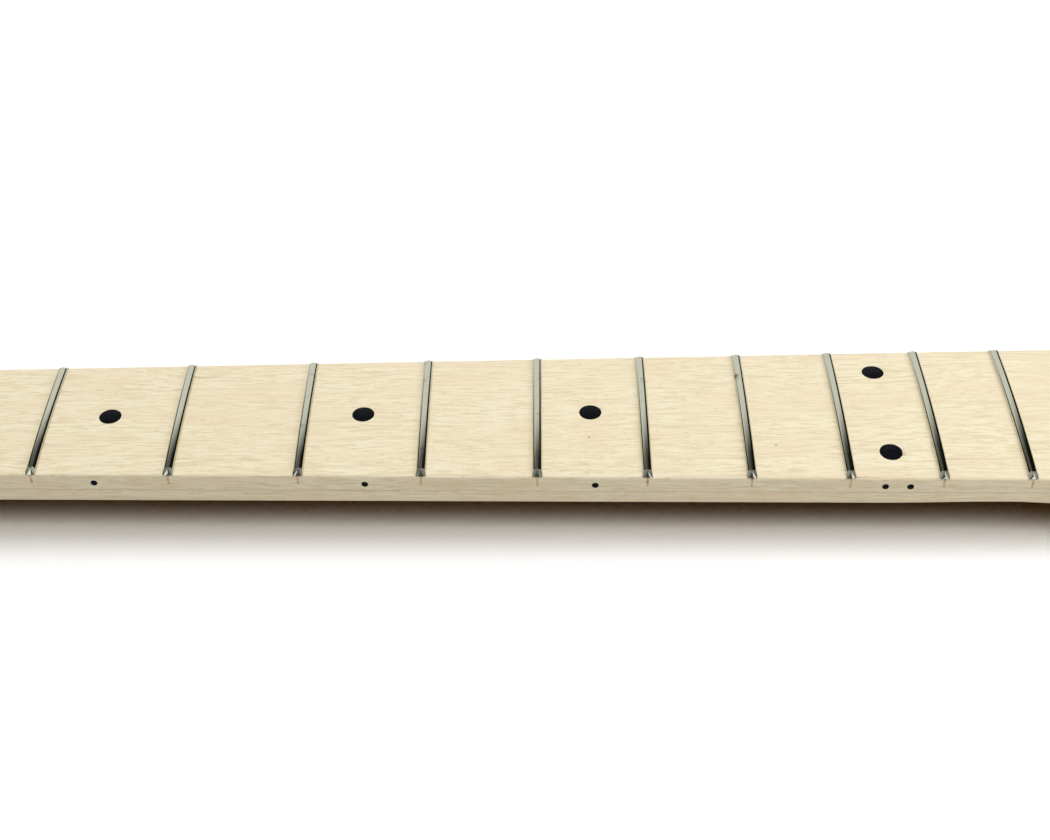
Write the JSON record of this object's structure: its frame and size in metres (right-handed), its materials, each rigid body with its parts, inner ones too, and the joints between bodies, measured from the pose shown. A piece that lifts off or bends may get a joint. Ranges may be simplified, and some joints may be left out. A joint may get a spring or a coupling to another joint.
{
  "type": "bass guitar neck",
  "caption": "Bolt-on bass guitar neck of raw maple, with a glued arched fretboard, frets, black position dots, nut, flat blade headstock with tuner holes and a two-way truss rod.",
  "frame": {"origin": "back face of the heel, at the middle of its four screw holes", "axes": "+X along the neck towards its heel end, +Y towards the treble side, +Z out of the fretboard"},
  "size_m": [0.8116, 0.0767, 0.0284],
  "materials": {
    "maple": "raw hard maple, sanded, no lacquer",
    "fretboard_maple": "raw hard maple, sanded fine, no lacquer",
    "fret_wire": "nickel silver, drawn and polished",
    "dots": "black acrylic, sanded flush",
    "nut": "bone, bleached, satin",
    "rod_steel": "drawn steel",
    "rod_blocks": "sawn brass bar"
  },
  "bodies": {
    "neck": {"face_dot_03": "dots", "face_dot_05": "dots", "face_dot_07": "dots", "face_dot_09": "dots", "face_dot_12_bass": "dots", "face_dot_12_treble": "dots", "face_dot_15": "dots", "face_dot_17": "dots", "face_dot_19": "dots", "fret_01": "fret_wire", "fret_02": "fret_wire", "fret_03": "fret_wire", "fret_04": "fret_wire", "fret_05": "fret_wire", "fret_06": "fret_wire", "fret_07": "fret_wire", "fret_08": "fret_wire", "fret_09": "fret_wire", "fret_10": "fret_wire", "fret_11": "fret_wire", "fret_12": "fret_wire", "fret_13": "fret_wire", "fret_14": "fret_wire", "fret_15": "fret_wire", "fret_16": "fret_wire", "fret_17": "fret_wire", "fret_18": "fret_wire", "fret_19": "fret_wire", "fret_20": "fret_wire", "fretboard": "fretboard_maple", "neck_shaft": "maple", "nut": "nut", "side_dot_03": "dots", "side_dot_05": "dots", "side_dot_07": "dots", "side_dot_09": "dots", "side_dot_12_first": "dots", "side_dot_12_second": "dots", "side_dot_15": "dots", "side_dot_17": "dots", "side_dot_19": "dots", "truss_rod_bar": "rod_steel", "truss_rod_block_headstock": "rod_blocks", "truss_rod_block_heel": "rod_blocks"},
    "rod_and_adjuster": {"truss_rod": "rod_steel", "truss_rod_adjuster": "rod_steel"}
  },
  "joints": [
    {"name": "truss_rod_adjust", "type": "hinge", "parent": "neck", "child": "rod_and_adjuster", "pos_m": [-0.56768, 0, 0.01327], "axis": [1, 0, 0], "range_deg": [-360, 360]}
  ]
}
